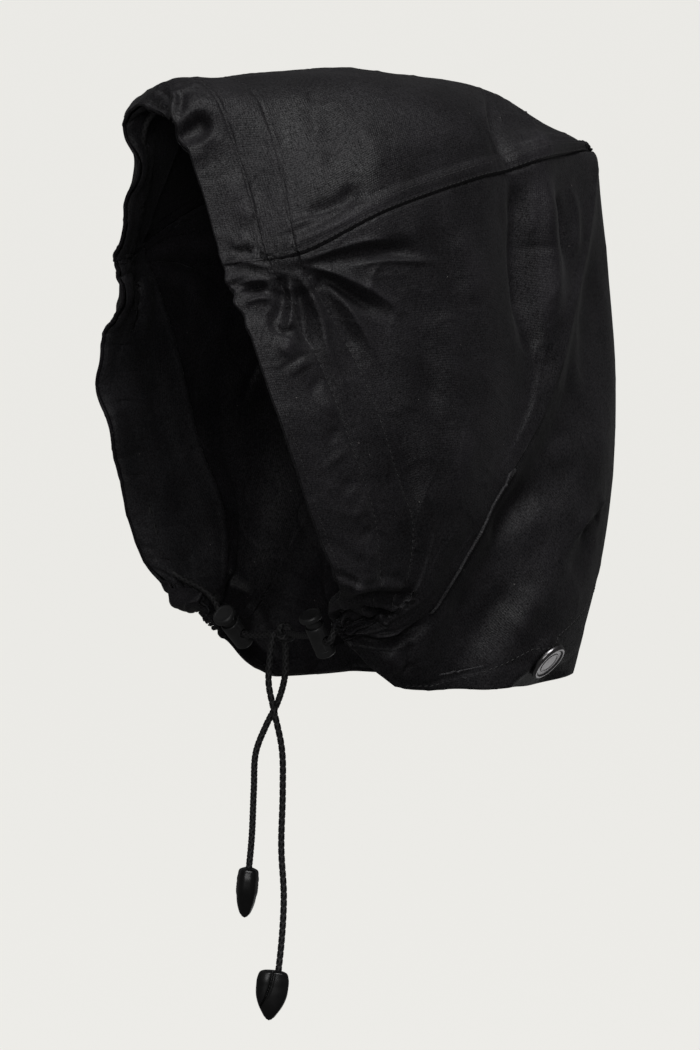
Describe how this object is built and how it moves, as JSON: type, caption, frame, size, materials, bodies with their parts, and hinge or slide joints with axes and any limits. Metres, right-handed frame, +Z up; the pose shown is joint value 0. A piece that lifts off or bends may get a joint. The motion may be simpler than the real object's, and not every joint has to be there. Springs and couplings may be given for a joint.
{
  "type": "detachable hood",
  "caption": "Black waxed-cloth storm hood with a drawcord round the face, cord locks, hanging tails with drop ends, and snap studs at the neck.",
  "frame": {"origin": "the spot of the inner crown where the hood sits on a head, in the middle plane", "axes": "+Z up, -Y towards the face opening, +X towards the wearer's left"},
  "size_m": [0.1818, 0.269, 0.4625],
  "materials": {
    "waxed_cloth": "waxed cotton, near black, soft sheen",
    "facing_cloth": "waxed cotton, inner side, matt",
    "braided_cord": "braided polyester cord, black",
    "lock_plastic": "satin black moulded plastic",
    "cord_end_plastic": "satin black moulded plastic",
    "snap_metal": "black enamelled metal"
  },
  "bodies": {
    "hood": {"crown_panel": "waxed_cloth", "side_panel_left": "waxed_cloth", "side_panel_right": "waxed_cloth", "face_facing": "facing_cloth", "neck_facing": "facing_cloth", "snap_cap_left": "snap_metal", "snap_socket_left": "snap_metal", "snap_cap_right": "snap_metal", "snap_socket_right": "snap_metal", "lock_barrel_left": "lock_plastic", "lock_barrel_right": "lock_plastic", "cord_knot": "braided_cord", "drawcord": "braided_cord", "cord_tail_left": "braided_cord", "cord_end_left": "cord_end_plastic", "cord_tail_right": "braided_cord", "cord_end_right": "cord_end_plastic"},
    "plunger_left": {"lock_plunger_left": "lock_plastic"},
    "plunger_right": {"lock_plunger_right": "lock_plastic"}
  },
  "joints": [
    {"name": "press_left_lock", "type": "slide", "parent": "hood", "child": "plunger_left", "axis": [-0.1691, 0.5243, -0.8345], "range_m": [0, 0.003], "stiffness_N_per_m": 800, "springref_m": -0.002},
    {"name": "press_right_lock", "type": "slide", "parent": "hood", "child": "plunger_right", "axis": [-0.288, 0.7281, -0.6221], "range_m": [0, 0.003], "stiffness_N_per_m": 800, "springref_m": -0.002}
  ]
}
